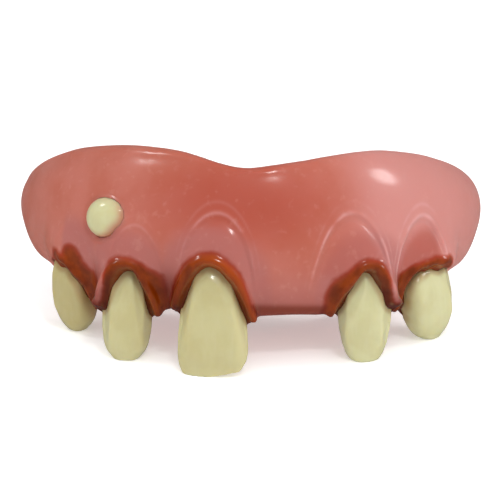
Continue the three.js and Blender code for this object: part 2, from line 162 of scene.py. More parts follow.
def unroll(points):
    x, y, z = (points / MM - FOOT).T
    level_y = y * math.cos(LEAN) - z * math.sin(LEAN)
    up = y * math.sin(LEAN) + z * math.cos(LEAN)
    across, ahead = x / ARCH_HALF_WIDTH, 1 - level_y / ARCH_DEPTH
    angle = np.degrees(np.arctan2(across, ahead))
    outside = (np.hypot(across, ahead) - 1) * ARCH_HALF_WIDTH
    return angle, up, outside


def tree_of(piece):
    faces = [face.vertices[:] for face in piece.data.polygons]
    return BVHTree.FromPolygons([v.co[:] for v in piece.data.vertices], faces)


def distance_to(tree, points, reach=12):
    found = (tree.find_nearest(point, reach * MM)[3] for point in points)
    return np.array([reach if d is None else d / MM for d in found])


def fade(value, start, end):
    share = np.clip((value - start) / (end - start), 0, 1)
    return share * share * (3 - 2 * share)


angle, up, outside = unroll(points_of(frame["nodes"]["gum_plate"]))
print("gum runs from", angle.min().round(), "to", angle.max().round(), "degrees")
print("and", up.max().round(1), "mm up")

# %% [markdown]
# ## Crowns
# The real crowns are cast acrylic, smooth and a little lumpy, with no flat facets. Each is a copy of
# its CAD node, given a fine even skin by a voxel remesh and then relaxed. The worn spot at the tip
# keeps its place, because the whole piece stands on it.

# %% Model the crowns
TOOTH_NODES = ("tooth_far_left", "tooth_left", "tooth_centre", "tooth_right", "tooth_far_right")
CROWN_GRAIN = 0.17
CROWN_ROUNDS = 30
BUD_ROUNDS = 12


def weigh(piece, name, weights):
    group = piece.vertex_groups.new(name=name)
    for i, weight in enumerate(weights):
        group.add([i], float(weight), "REPLACE")


def reskin(piece, grain):
    finish_with(piece, "REMESH", mode="VOXEL", voxel_size=grain * MM, use_smooth_shade=True)


def relax(piece, rounds, group=""):
    finish_with(piece, "SMOOTH", factor=0.5, iterations=rounds, vertex_group=group)


def relaxed_copy(node, rounds):
    piece = copy_node(node, node.replace("tooth", "crown"))
    reskin(piece, CROWN_GRAIN)
    above_floor = points_of(piece)[:, 2] / MM
    weigh(piece, "loose", fade(above_floor, 0.1, 0.6))
    relax(piece, rounds, "loose")
    print(piece.name, len(piece.data.polygons), "faces")
    return piece


crowns = {node: relaxed_copy(node, CROWN_ROUNDS) for node in TOOTH_NODES}
bud = relaxed_copy("tooth_bud", BUD_ROUNDS)

# %% [markdown]
# ## Wear and odd shapes
# No crown is like the next. The big front crown is worn aslant, so its cutting edge rises to one side.
# The bud is a little fuller than its CAD solid, most of all to its right, and the right crown is slimmer
# below its neck. Each is a push along one direction or along the normals, with weights that fade out
# over the piece, as under a soft sculpting brush.

# %% Wear the front crown, fill the bud and slim the right crown
WORN_BY = 0.75
BUD_FULLER_BY = 0.15
BUD_WIDER_BY = 0.6
SLIMMER_BY = 0.28


def swell(piece, depth):
    finish_with(piece, "DISPLACE", direction="NORMAL", mid_level=0, strength=depth * MM)


def push(piece, name, weights, depth, way="NORMAL"):
    weigh(piece, name, np.clip(weights, 0, 1))
    finish_with(piece, "DISPLACE", direction=way, mid_level=0, strength=depth * MM, vertex_group=name)


front_crown = crowns["tooth_centre"]
x, y, z = (points_of(front_crown) / MM).T
push(front_crown, "worn_corner", fade(x, -5.5, 0) * fade(z, 6, 0), WORN_BY, "Z")
swell(bud, BUD_FULLER_BY)
x = (points_of(bud)[:, 0] - points_of(bud)[:, 0].mean()) / MM
push(bud, "right_side", fade(x, -1, 2), BUD_WIDER_BY, "X")
right_crown = crowns["tooth_right"]
z = points_of(right_crown)[:, 2] / MM
push(right_crown, "slim", fade(z, 7, 2) * fade(z, 0.2, 1.4), -SLIMMER_BY)
print("front crown now reaches down to", round(points_of(front_crown)[:, 2].min() / MM, 3), "mm")

# %% [markdown]
# ## Faces of the crowns
# Real crowns are no eggs. From the front each has a flatter face between two soft ridges, and the ridges
# catch the light. A point's share across its crown, from -1 at one side to 1 at the other, tells where
# the ridges run. The two end crowns turn away along the arch, so their shares are taken along a heading.

# %% Raise the ridges and flatten the faces
HEADINGS = {
    "tooth_far_left": -28,
    "tooth_left": 0,
    "tooth_centre": 0,
    "tooth_right": 0,
    "tooth_far_right": 28,
}
RIDGE_AT = 0.68
RIDGE_WIDTH = 0.16
RIDGE_HEIGHT = 0.26
FACE_WIDTH = 0.4
FACE_DEPTH = 0.12


def band(value, middle, width):
    return np.exp(-(((value - middle) / width) ** 2))


def facing_front(piece, start, end):
    return fade(normals_of(piece) @ np.array(FRONT_WAY), start, end)


def share_across(node):
    heading = math.radians(HEADINGS[node])
    points = points_of(crowns[node])
    along = points @ np.array((math.cos(heading), math.sin(heading), 0)) / MM
    height = points[:, 2] / MM
    steps = np.arange(0.5, height.max(), 0.5)
    rows = [along[np.abs(height - step) < 0.5] for step in steps]
    low = np.interp(height, steps, [row.min() for row in rows])
    high = np.interp(height, steps, [row.max() for row in rows])
    return (2 * along - low - high) / (high - low)


faced = {}
for node, crown in crowns.items():
    share = share_across(node)
    faced[node] = facing_front(crown, 0, 0.4) * fade(points_of(crown)[:, 2] / MM, 1, 4)
    ridges = band(share, RIDGE_AT, RIDGE_WIDTH) + band(share, -RIDGE_AT, RIDGE_WIDTH)
    push(crown, "ridges", ridges * faced[node], RIDGE_HEIGHT)
    push(crown, "face", band(share, 0, FACE_WIDTH) * faced[node], -FACE_DEPTH)
print("ridges raised on", len(crowns), "crowns")

# %% [markdown]
# ## Necks
# The gum climbs over the shoulders of the crowns, so each crown shows through an arch that is narrower
# than the crown itself. Four arches are given by the place of their tops, by how far their feet lie to
# the sides and by the height at which their two ends stop. Near its arch a crown draws in to its neck.
# The last crown on the right is also fuller towards its neighbour.

# %% Draw in the necks and fill the last crown
ARCHES = {
    "tooth_left": dict(angle=-29.3, top=5.5, left=5.7, right=3.2, power=2.2, ends=(0.4, -0.5)),
    "tooth_centre": dict(angle=-9.5, top=6.0, left=7.0, right=9.1, power=1.8, ends=(0.6, -0.8)),
    "tooth_right": dict(angle=28.0, top=5.9, left=5.0, right=6.6, power=1.25, ends=(0.2, 1.4)),
    "tooth_far_right": dict(angle=49.5, top=7.3, left=15.0, right=13.0, power=1.6, ends=(2.2, 6.4)),
}
ARCH_FOOT = -0.6
NECK_REACH = 1.7
NECK_DEPTH = 0.35
FULLER_BY = 0.7


def beyond_arch(points, arch):
    angle, up, outside = unroll(points)
    foot = np.where(angle < arch["angle"], arch["left"], arch["right"])
    share = np.abs(angle - arch["angle"]) / foot
    rise = arch["top"] - ARCH_FOOT
    slope = rise * arch["power"] * share ** (arch["power"] - 1) / (np.radians(foot) * ARCH_HALF_WIDTH)
    return (up - arch["top"] + rise * share ** arch["power"]) / np.hypot(1, slope)


for node, arch in ARCHES.items():
    near_arch = fade(beyond_arch(points_of(crowns[node]), arch), -NECK_REACH, 0)
    push(crowns[node], "neck_in", near_arch * faced[node], -NECK_DEPTH)
last_crown = crowns["tooth_far_right"]
height = points_of(last_crown)[:, 2] / MM
inner_side = band(share_across("tooth_far_right"), -0.8, 0.4)
push(last_crown, "fuller", inner_side * fade(height, 3, 6) * fade(height, 11, 8), FULLER_BY)
for crown in crowns.values():
    relax(crown, 6, "loose")
print("necks drawn in on", len(ARCHES), "crowns")

# %% [markdown]
# ## Gum
# The gum is one moulded piece that was cast against its teeth. The CAD copy has a thin gap round every
# root, so copies of the crowns are joined to it as plugs, and the whole is remeshed into one even skin.
# Swelling that skin and shrinking it again closes the gaps and rounds the sharp inner corners, which
# is what wax does when a warm knife runs over it.

# %% Plug the sockets and close the gaps
GUM_GRAIN = 0.22
CLOSE_BY = 0.34


def keep_largest(piece):
    pick(piece)
    name = piece.name
    bpy.ops.object.mode_set(mode="EDIT")
    bpy.ops.mesh.separate(type="LOOSE")
    bpy.ops.object.mode_set(mode="OBJECT")
    parts = sorted(bpy.context.selected_objects, key=lambda part: len(part.data.polygons))
    largest = parts.pop()
    for flake in parts:
        bpy.data.objects.remove(flake)
    largest.name = largest.data.name = name
    print(name, "keeps", len(largest.data.polygons), "faces,", len(parts), "flakes removed")
    return pick(largest)


gum = copy_node("gum_plate", "gum")
for piece in (*crowns.values(), bud):
    pick(piece)
    bpy.ops.object.duplicate()
    gum.select_set(True)
    bpy.context.view_layer.objects.active = gum
    bpy.ops.object.join()
reskin(gum, GUM_GRAIN)
for depth in (CLOSE_BY, -CLOSE_BY):
    swell(gum, depth)
    reskin(gum, GUM_GRAIN)
gum = keep_largest(gum)

# %% [markdown]
# ## Relax the skin
# The flat facets of the CAD wall have to go, and the margins have to stay. So the smoothing is strong
# on the open wall and weak near the teeth: a vertex group holds the share for every point.

# %% Relax the gum
OPEN_WALL_ROUNDS = 110
ALL_OVER_ROUNDS = 7


def nearest(trees, piece):
    return np.min([distance_to(tree, points_of(piece)) for tree in trees], axis=0)


crown_trees = {node: tree_of(crown) for node, crown in crowns.items()}
bud_tree = tree_of(bud)
to_teeth = nearest([*crown_trees.values(), bud_tree], gum)
weigh(gum, "open_wall", fade(to_teeth, 1.0, 3.5))
relax(gum, OPEN_WALL_ROUNDS, "open_wall")
relax(gum, ALL_OVER_ROUNDS)
print("relaxed points:", int((to_teeth > 2).sum()))

# %% [markdown]
# ## Arched openings
# Outside the arches the joined skin is raised, so that gum covers the shoulders of the crowns there.
# Inside them it is lowered, so that the crowns show right up to the arch.

# %% Raise the gum over the shoulders
COVER_HEIGHT = 0.6
OPENED_DEPTH = 0.5
COLLAR_ROUNDS = 20


def outer_side(piece):
    outside = unroll(points_of(piece))[2]
    ridge = fade(outside, -5.5, -4.3) * facing_front(piece, -0.1, 0.2)
    return np.maximum(fade(outside, -3.4, -2.4), ridge)


angle, up, outside = unroll(points_of(gum))
cover = np.zeros(len(angle))
opened = np.zeros(len(angle))
for node, arch in ARCHES.items():
    beyond = beyond_arch(points_of(gum), arch)
    to_one = distance_to(crown_trees[node], points_of(gum))
    end = np.where(angle < arch["angle"], *arch["ends"])
    over_end = fade(up, end - 0.6, end + 0.6)
    cover = np.maximum(cover, fade(beyond, -0.1, 0.5) * fade(to_one, 2.6, 0) * over_end)
    opened = np.maximum(opened, fade(beyond, -0.1, -0.6) * fade(to_one, 1.2, 0) * over_end)
front = outer_side(gum)
push(gum, "cover", cover * front, COVER_HEIGHT)
push(gum, "opened", opened * front, -OPENED_DEPTH)
reskin(gum, GUM_GRAIN)
to_teeth = nearest(crown_trees.values(), gum)
weigh(gum, "collars", fade(to_teeth, 0.1, 0.7) * fade(to_teeth, 5, 3))
relax(gum, COLLAR_ROUNDS, "collars")
relax(gum, 4)
print("covered points:", int((cover > 0.5).sum()))

# %% [markdown]
# ## Thin the plain parts
# Fine grain is needed only where the gum shows its folds. The back, the inside and the upper lobes are
# plain, so triangles are merged there where that changes the shape least. The folded front is locked.

# %% Thin the plain parts of the gum
KEPT_SHARE = 0.42

angle, up, outside = unroll(points_of(gum))
folded = outer_side(gum) * fade(up, 15, 13.5) * fade(np.abs(angle), 62, 58)
weigh(gum, "plain", np.where(folded > 0.2, 0, 1))
finish_with(gum, "DECIMATE", ratio=KEPT_SHARE, vertex_group="plain", vertex_group_factor=1)
print("gum after thinning:", len(gum.data.polygons), "faces")

# %% [markdown]
# ## What shows of each crown
# A crown's root is buried, so a plain distance to the tooth would also count the gum over its root.
# A point of a crown shows if the gum's skin lies on it or behind it: a ray outwards from each face
# tells. If it leaves the gum further out, the face is buried. Distances are then taken on the unrolled
# wall, with the depth counted at about a third, which is how a painter sees a band round a neck.

# %% Find the bare part of each crown
BURIED_BY = 0.15
RAY_REACH = 60
DEPTH_SHARE = 0.35


def lay_flat(points):
    angle, up, outside = unroll(points)
    return np.column_stack((np.radians(angle) * ARCH_HALF_WIDTH, up, DEPTH_SHARE * outside)) * MM


def is_bare(face, gum_tree):
    start = face.center + face.normal * BURIED_BY * MM
    place, normal = gum_tree.ray_cast(start, face.normal, RAY_REACH * MM)[:2]
    return face.normal.dot(FRONT_WAY) > 0 and (place is None or face.normal.dot(normal) < 0)


def flat_distance(piece):
    piece_tree = tree_of(piece)
    flat_points = lay_flat(points_of(piece))
    found = []
    for crown in crowns.values():
        faces = [face.vertices[:] for face in crown.data.polygons if is_bare(face, piece_tree)]
        flat_tree = BVHTree.FromPolygons(lay_flat(points_of(crown)).tolist(), faces)
        found.append(distance_to(flat_tree, flat_points))
    return np.array(found)


to_crown = flat_distance(gum).min(axis=0)
print("gum within 1 mm of a bare crown:", int((to_crown < 1).sum()), "points")

# %% [markdown]
# ## Roots
# Over each root the gum swells, and a fine fold runs round the swelling like an eyelid: a crease with a
# bead beside it. By hand this is sculpting. Here a weight says how strongly each point takes part, and a
# Displace modifier pushes those points along their normals.

# %% Raise the roots
ROOTS = {
    "tooth_far_left": dict(angle=-47.0, half_width=4.2, top=11.5, relief=0.1),
    "tooth_left": dict(angle=-27.5, half_width=4.0, top=11.0, relief=0.35),
    "tooth_centre": dict(angle=-7.7, half_width=5.0, top=12.6, relief=0.5),
    "tooth_right": dict(angle=24.3, half_width=5.2, top=13.0, relief=0.8),
    "tooth_far_right": dict(angle=44.8, half_width=5.0, top=12.9, relief=1.0),
}
ROOT_FOOT = 2.0
SWELL_HEIGHT = 0.4
CREASE_DEPTH = 0.2
BEAD_HEIGHT = 0.14


def root_rings(points):
    angle, up, outside = unroll(points)
    found = []
    for root in ROOTS.values():
        aside = np.radians(angle - root["angle"]) * ARCH_HALF_WIDTH / root["half_width"]
        above = np.clip((up - ROOT_FOOT) / (root["top"] - ROOT_FOOT), 0, None)
        found.append((np.hypot(aside, above), root["relief"] * fade(up, ROOT_FOOT, 6)))
    return found


rings = root_rings(points_of(gum))
facing_out = outer_side(gum) * facing_front(gum, -0.3, 0.1)
off_neck = facing_out * fade(to_crown, 1.8, 3.0)
swelling = np.max([relief * fade(ring, 1, 0) for ring, relief in rings], axis=0)
crease = np.max([relief * band(ring, 0.92, 0.05) for ring, relief in rings], axis=0)
bead = np.max([relief * band(ring, 1.0, 0.035) for ring, relief in rings], axis=0)
push(gum, "swell", swelling * off_neck, SWELL_HEIGHT)
push(gum, "crease", crease * off_neck, -CREASE_DEPTH)
push(gum, "bead", bead * off_neck, BEAD_HEIGHT)
print("points on a root:", int((swelling * off_neck > 0.1).sum()))

# %% [markdown]
# ## Collars
# Round each neck the gum rolls up into a lip, and between lip and tooth it falls away into a cove. Both
# fade out at the outer sides of the two end crowns. The stray bud has no lip, only a groove at its lower
# left.

# %% Roll the collars
LIP_HEIGHT = 0.42
COVE_DEPTH = 0.34
BUD_COVE_DEPTH = 0.4


def beside_the_ends(piece, left, right):
    angle = unroll(points_of(piece))[0]
    end = np.where(angle < 0, left, right)
    return fade(np.abs(angle), end, end - 3)


lip = band(to_crown, 1.35, 0.5) * facing_out
cove = fade(to_crown, 1.1, 0.3) * facing_out
push(gum, "lip", lip * beside_the_ends(gum, 53, 54.5), LIP_HEIGHT)
push(gum, "cove", cove * beside_the_ends(gum, 52.5, 52.5), -COVE_DEPTH)
to_bud = distance_to(bud_tree, points_of(gum))
x, y, z = ((points_of(gum) - points_of(bud).mean(axis=0)) / MM).T
lower_left = fade(0.8 * x + 0.6 * z, 0.6, -1.4)
push(gum, "bud_cove", fade(to_bud, 1.0, 0.2) * facing_out * lower_left, -BUD_COVE_DEPTH)
print("points on a lip:", int((lip > 0.5).sum()))

# %% [markdown]
# ## Edges
# The left lobe and the dip of the rim end in a low bead. Beyond the end crowns the feet of the two wings
# are a little fuller, with a cove against the crown, and in the toothless gap the lower edge hangs down.
# All of it is less than half a millimetre, but it is what the light catches.

# %% Finish the edges of the gum
RIM_HEIGHT = 0.2
WING_FOOT_HEIGHT = 0.35
END_COVE_DEPTH = 0.3
EDGE_DOWN_BY = 0.3


def below_top(piece):
    angle, up, outside = unroll(points_of(piece))
    steps = np.arange(-100, 101, 4)
    tops = [up[np.abs(angle - step) < 3].max(initial=0) for step in steps]
    return np.interp(angle, steps, tops) - up


angle, up, outside = unroll(points_of(gum))
push(gum, "rim", band(below_top(gum), 0.8, 0.45) * facing_out * fade(angle, 18, 10), RIM_HEIGHT)
to_teeth = nearest(crown_trees.values(), gum)
wing_foot = fade(np.abs(angle), 53, 59) * fade(up, 12, 7) * fade(to_teeth, 0.5, 2.0)
push(gum, "wing_foot", wing_foot * outer_side(gum), WING_FOOT_HEIGHT)
end_sides = fade(np.abs(angle), 51, 54) * outer_side(gum)
push(gum, "end_cove", fade(to_teeth, 0.5, 0.15) * end_sides, -END_COVE_DEPTH)
gap_edge = fade(angle, -2, 2) * fade(angle, 22, 18) * fade(up, 2.5, 0)
push(gum, "edge_down", gap_edge, -EDGE_DOWN_BY, "Z")
relax(gum, 2)
print("gum now has", len(gum.vertex_groups), "sculpting weights")

# %% [markdown]
# ## Cut the sockets
# Last, every crown is cut out of the gum again, this time with a hair's breadth of room, so that gum
# and ivory meet in one clean line. The cut can leave thin flakes where the plug's skin was not quite
# the crown's, so only the largest connected part is kept.

# %% Cut the crowns out of the gum
CUT_ROOM = 0.05

for piece in (*crowns.values(), bud):
    pick(piece)
    bpy.ops.object.duplicate()
    cutter = bpy.context.object
    swell(cutter, CUT_ROOM)
    finish_with(gum, "BOOLEAN", operation="DIFFERENCE", object=cutter, solver="MANIFOLD")
    bpy.data.objects.remove(cutter)
gum = keep_largest(gum)
bpy.ops.object.shade_smooth()

# %% [markdown]
# ## Where the stain lies
# The stain is a brown glaze brushed round every neck, thick against the tooth and thin at its outer
# edge. Its width differs to the left, over the top and to the right of each crown. It could be painted
# by hand. Here it is worked out from the distance to the crowns and stored on the mesh as attributes
# between 0 and 1, which the material then reads.

# %% Store the stain
STAIN = {
    "tooth_far_left": dict(angle=-49, left=0.4, top=2.4, right=5.4),
    "tooth_left": dict(angle=-29.3, left=1.0, top=2.6, right=4.6),
    "tooth_centre": dict(angle=-9.5, left=3.0, top=2.6, right=2.3),
    "tooth_right": dict(angle=28, left=3.8, top=2.4, right=1.2),
    "tooth_far_right": dict(angle=50, left=4.6, top=2.4, right=0.7),
}
SIDE_ANGLE = 5


def keep_mask(piece, name, values):
    stored = piece.data.attributes.new(name, "FLOAT", "POINT")
    stored.data.foreach_set("value", np.clip(values, 0, 1).astype(np.float32))


angle, up, outside = unroll(points_of(gum))
front = outer_side(gum)
to_each = flat_distance(gum)
to_crown = to_each.min(axis=0)
stain = np.zeros(len(angle))
for row, to_one in zip(STAIN.values(), to_each):
    aside = (angle - row["angle"]) / SIDE_ANGLE * fade(up, 7.5, 3.0)
    width = np.interp(aside, (-1, 0, 1), (row["left"], row["top"], row["right"]))
    stain = np.maximum(stain, fade(to_one, width, 0.5 * width - 0.5))
end_sides = fade(nearest(crown_trees.values(), gum), 0.6, 0.2) * fade(np.abs(angle), 50, 53)
stain = np.maximum(stain * beside_the_ends(gum, 55, 56), 0.8 * end_sides) * front
to_centre = to_each[TOOTH_NODES.index("tooth_centre")]
keep_mask(gum, "stain", stain)
keep_mask(gum, "amber", fade(to_centre, 2.5, 1.5) * fade(angle, -13, -7) * front)
# painted shade in the cove right against each tooth, darker lower down
keep_mask(gum, "cove_shade", fade(to_crown, 1.3, 0.2) * (0.15 + 0.6 * fade(up, 6.5, 2.5)) * front)
print("stained points:", int((stain > 0.3).sum()))

# %% [markdown]
# ## Where the pinks lie
# The gum itself is redder in the middle hollow, with painted shade there too, and paler towards the right
# end as painted light for the stronger lamp on that side. A lilac haze lies near the margins, with painted
# shade low down, and pale lines run along the folds round the roots. The narrow wedges between the teeth
# get painted shade, and the lower edge a brown that is part stain, part painted shade. These places are
# stored in the same way.

# %% Store the shades of the gum
WEDGES = ((-38.5, 2.6), (-19.5, 4), (37.5, 3.0))

# painted shade in the narrow wedges between the teeth and, more faintly, low on the gum
wedge = np.max([band(angle, middle, width) for middle, width in WEDGES], axis=0)
wedge_shade = np.maximum(wedge * fade(up, 8, 2), 0.35 * fade(up, 5, 1))
# the lower edge: brown stain plus painted shade where the gum turns under
edge_stain_and_shade = fade(up, 2.1, 0.8) * fade(np.abs(angle), 52, 46) * fade(outside, -6, -4)
round_necks = fade(to_crown, 1, 2) * fade(to_crown, 7, 3) * beside_the_ends(gum, 51, 51)
rings = root_rings(points_of(gum))
lines = [relief * band(ring, 1.0, 0.032) for ring, relief in rings]
lines += [relief * 0.5 * band(ring, 1.13, 0.03) for ring, relief in rings]
inside = [(2 * relief - 1) * fade(ring, 1, 0.7) for ring, relief in rings]
keep_mask(gum, "wedge_shade", wedge_shade * front)
keep_mask(gum, "edge_stain_and_shade", edge_stain_and_shade)
# lilac haze near the necks, plus painted shade low down where less light reaches
keep_mask(gum, "haze_and_low_shade", np.maximum(0.7 * fade(up, 8.5, 1.5), round_necks))
# the middle hollow is redder, and darker as painted shade in the dip
keep_mask(gum, "hollow_red_and_shade", band(angle, -2, 24) * band(up, 14, 6.5))
# painted light: the right end is paler, standing in for the stronger light from the right
keep_mask(gum, "right_end_light", fade(angle, 12, 37) * (1 - 0.2 * fade(angle, 48, 64)))
keep_mask(gum, "ring", np.max(lines, axis=0) * front)
keep_mask(gum, "inside", np.max(inside, axis=0) * front)
print("masks on the gum:", len([a for a in gum.data.attributes if a.data_type == "FLOAT"]))

# %% [markdown]
# ## Plastics
# Gum and crowns are both acrylic. Light sinks in a little way, so the shader gets subsurface
# scattering, and a clear coat gives the wet gloss. Nodes can be wired by hand in the shader editor. Here
# small helpers add one node each, feed its sockets and hand on what comes out, so that a tree reads as
# a list of steps.

# %% Helpers for single nodes
def tint(code):
    parts = [int(code[i : i + 2], 16) / 255 for i in (1, 3, 5)]
    return (*[c / 12.92 if c < 0.04045 else ((c + 0.055) / 1.055) ** 2.4 for c in parts], 1)


def feed(tree, socket, value):
    if isinstance(value, bpy.types.NodeSocket):
        tree.links.new(value, socket)
    else:
        socket.default_value = value


def add_node(tree, kind, sockets=None, **settings):
    made = tree.nodes.new("ShaderNode" + kind)
    for name, value in settings.items():
        setattr(made, name, value)
    for name, value in (sockets or {}).items():
        feed(tree, made.inputs[name], value)
    return made


def noise(tree, place, scale, detail):
    made = add_node(tree, "TexNoise", {"Vector": place, "Scale": scale, "Detail": detail})
    return made.outputs["Fac"]


def mask(tree, name):
    return add_node(tree, "Attribute", attribute_name=name).outputs["Fac"]


def combine(tree, first, second, how):
    return add_node(tree, "Math", {0: first, 1: second}, operation=how).outputs[0]


print("tint of plain white:", tint("#FFFFFF"))

# %% [markdown]
# ## Layers
# The colours are built up as a painter does it, each layer over the last. Remap turns a mask or a noise
# into the strength of a layer, with soft ends. Every plastic starts from one shader and from places on
# the piece itself, so that its noise stays where it is when the piece moves.

# %% Helpers for layers of colour
def remap(tree, value, low, high, to_low, to_high):
    ends = {"From Min": low, "From Max": high, "To Min": to_low, "To Max": to_high}
    made = add_node(tree, "MapRange", {"Value": value, **ends}, interpolation_type="SMOOTHSTEP")
    return made.outputs["Result"]


def lay_over(tree, under, colour, factor, how="MIX"):
    mix = add_node(tree, "Mix", {0: factor, 6: under, 7: colour}, data_type="RGBA", blend_type=how)
    return mix.outputs[2]


def lay_mask(tree, under, name, code, most):
    return lay_over(tree, under, tint(code), remap(tree, mask(tree, name), 0, 1, 0, most))


def new_plastic(name):
    plastic = bpy.data.materials.new(name)
    plastic.use_nodes = True
    tree = plastic.node_tree
    place = add_node(tree, "TexCoord").outputs["Object"]
    return plastic, tree, tree.nodes["Principled BSDF"], place


print("layer helpers ready")

# %% [markdown]
# ## Pink of the gum
# From the bottom up: salmon pink, painted light on the right end, the redder hollow with its painted
# shade, the lilac haze with painted shade low down, darker red inside the right root folds and the pale
# root lines, then painted shade in the wedges and the stained, painted-shade lower edge. Cloudy noise
# breaks up the flat pink, as in hand-mixed acrylic.

# %% Mix the pink
SALMON = "#BC6A58"
LIGHT_SALMON = "#C27364"
FOLD_PINK = "#DCA8A6"
FLECK_PINK = "#D89C90"
WIDE_SHADES = {
    # painted light on the right end
    "right_end_light": ("#D08E88", 0.8),
    # redder hollow, partly painted shade
    "hollow_red_and_shade": ("#AC4937", 0.75),
    # lilac haze, with painted shade low down
    "haze_and_low_shade": ("#B06C67", 0.75),
    "inside": ("#B05240", 0.55),
}
# painted shade in the wedges and low down, and stain with painted shade on the lower edge
DARK_SHADES = {"wedge_shade": ("#641A08", 0.75), "edge_stain_and_shade": ("#74280C", 0.8)}

gum_acrylic, tree, shader, place = new_plastic("gum_acrylic")
clouds = noise(tree, place, 190, 3)
mottle = noise(tree, place, 900, 3)
colour = lay_over(tree, tint(SALMON), tint(LIGHT_SALMON), remap(tree, clouds, 0.35, 0.65, 0, 1))
for name, (code, most) in WIDE_SHADES.items():
    colour = lay_mask(tree, colour, name, code, most)
fold = combine(tree, mask(tree, "ring"), remap(tree, clouds, 0.4, 0.6, 0.2, 1), "MULTIPLY")
colour = lay_over(tree, colour, tint(FOLD_PINK), remap(tree, fold, 0, 1, 0, 0.6))
colour = lay_over(tree, colour, tint(FLECK_PINK), remap(tree, mottle, 0.55, 0.75, 0, 0.15))
for name, (code, most) in DARK_SHADES.items():
    colour = lay_mask(tree, colour, name, code, most)
print("pink:", len(tree.nodes), "nodes")

# %% [markdown]
# ## Brown of the stain
# A thin glaze first only darkens the pink, and where it lies thicker it covers it. So the stain is laid
# on twice: multiplied where it is thin, mixed in where it is thick. Brush noise makes its edge uneven.
# Painted shade then darkens the brown in the wedges and the cove right against each tooth, most low down.

# %% Lay on the stain
THIN_GLAZE = "#D88C64"
BROWN = "#8E3800"
DARK_BROWN = "#722800"
AMBER = "#A84404"
# painted shade in the wedges, laid over the brown
WEDGE_SHADE_BROWN = "#5A1400"
# painted shade in the coves next to the teeth
COVE_SHADE_BROWN = "#461000"

brush = noise(tree, place, 480, 4)
glaze = combine(tree, mask(tree, "stain"), remap(tree, brush, 0.3, 0.7, -0.08, 0.08), "ADD")
glaze = combine(tree, glaze, remap(tree, mask(tree, "stain"), 0, 0.2, 0, 1), "MULTIPLY")
brown = lay_over(tree, tint(BROWN), tint(DARK_BROWN), remap(tree, brush, 0.35, 0.65, 0, 1))
brown = lay_mask(tree, brown, "amber", AMBER, 0.75)
# painted shade darkens the brown in the wedges
brown = lay_mask(tree, brown, "wedge_shade", WEDGE_SHADE_BROWN, 0.6)
colour = lay_over(tree, colour, tint(THIN_GLAZE), remap(tree, glaze, 0, 0.5, 0, 1), "MULTIPLY")
colour = lay_over(tree, colour, brown, remap(tree, glaze, 0.3, 0.9, 0, 1))
# painted shade darkens the cove next to each tooth
colour = lay_over(tree, colour, tint(COVE_SHADE_BROWN), mask(tree, "cove_shade"))
feed(tree, shader.inputs["Base Color"], colour)
print("pink and stain:", len(tree.nodes), "nodes")

# %% [markdown]
# ## Gloss of the gum
# The gum is wet and glossy, most of all on the glaze. The coat is weaker where the skin turns aslant
# and in the wedges of painted shade, because a full coat would put a grey veil over the dark colours
# there. Under the glaze less light sinks in. What is the same all over is set on the shader's own sockets.

# %% Finish the gum
aslant = add_node(tree, "LayerWeight", {"Blend": 0.5}).outputs["Facing"]
wet = combine(tree, glaze, mask(tree, "edge_stain_and_shade"), "MAXIMUM")
coat = remap(tree, wet, 0, 1, 0.65, 1)
coat = combine(tree, coat, remap(tree, aslant, 0.5, 0.85, 1, 0.15), "MULTIPLY")
coat = combine(tree, coat, remap(tree, mask(tree, "wedge_shade"), 0, 0.8, 1, 0.5), "MULTIPLY")
ripple = add_node(tree, "Bump", {"Height": clouds, "Strength": 0.05, "Distance": 0.3 * MM})
feed(tree, shader.inputs["Coat Weight"], coat)
feed(tree, shader.inputs["Coat Roughness"], 0.15)
feed(tree, shader.inputs["Roughness"], remap(tree, mottle, 0.3, 0.7, 0.28, 0.36))
feed(tree, shader.inputs["Specular IOR Level"], 0.14)
feed(tree, shader.inputs["Subsurface Weight"], remap(tree, glaze, 0.1, 0.75, 0.35, 0.05))
feed(tree, shader.inputs["Subsurface Radius"], (1.0, 0.4, 0.3))
feed(tree, shader.inputs["Subsurface Scale"], 1.0 * MM)
feed(tree, shader.inputs["Normal"], ripple.outputs["Normal"])
gum.data.materials.clear()
gum.data.materials.append(gum_acrylic)
print("gum acrylic:", len(tree.nodes), "nodes")

# %% [markdown]
# ## Shades of the crowns
# The three crowns on the left and in the middle get a darker, yellower wash: painted shade, for the
# weaker light on that side. Each is browner where it leaves the gum, partly stain and partly painted
# shade, and the end crowns over a wider band on their inner sides. The bud is veiled by a film of gum at
# its lower right. These places too are stored as attributes.

# %% Store the shades of the crowns
# painted shade on the crowns on the weaker-lit left side
LEFT_CROWN_SHADE = {"tooth_far_left": 0.9, "tooth_left": 0.45, "tooth_centre": 0.5}
NECK_STAIN_AND_SHADE_WIDTH = 1.3
INNER_STAIN_AND_SHADE_WIDTH = 1.2
VEIL_WIDTH = 1.5

gum_tree = tree_of(gum)
for node, crown in crowns.items():
    keep_mask(crown, "left_crown_shade", np.full(len(crown.data.vertices), LEFT_CROWN_SHADE.get(node, 0)))
    inner_side = fade(-np.sign(HEADINGS[node]) * share_across(node), 0, 0.6)
    to_gum = distance_to(gum_tree, points_of(crown), 4)
    # brown at each neck, partly stain and partly painted shade, wider on the end crowns' inner sides
    keep_mask(crown, "neck", fade(to_gum, NECK_STAIN_AND_SHADE_WIDTH + INNER_STAIN_AND_SHADE_WIDTH * inner_side, 0))
x, y, z = ((points_of(bud) - points_of(bud).mean(axis=0)) / MM).T
lower_right = fade(0.8 * x - 0.6 * z, -1.2, 1.2)
to_gum = distance_to(gum_tree, points_of(bud), 4)
keep_mask(bud, "veil", fade(to_gum, VEIL_WIDTH, 0) * (0.2 + 0.8 * lower_right))
print("bud points near the gum:", int((to_gum < VEIL_WIDTH).sum()))

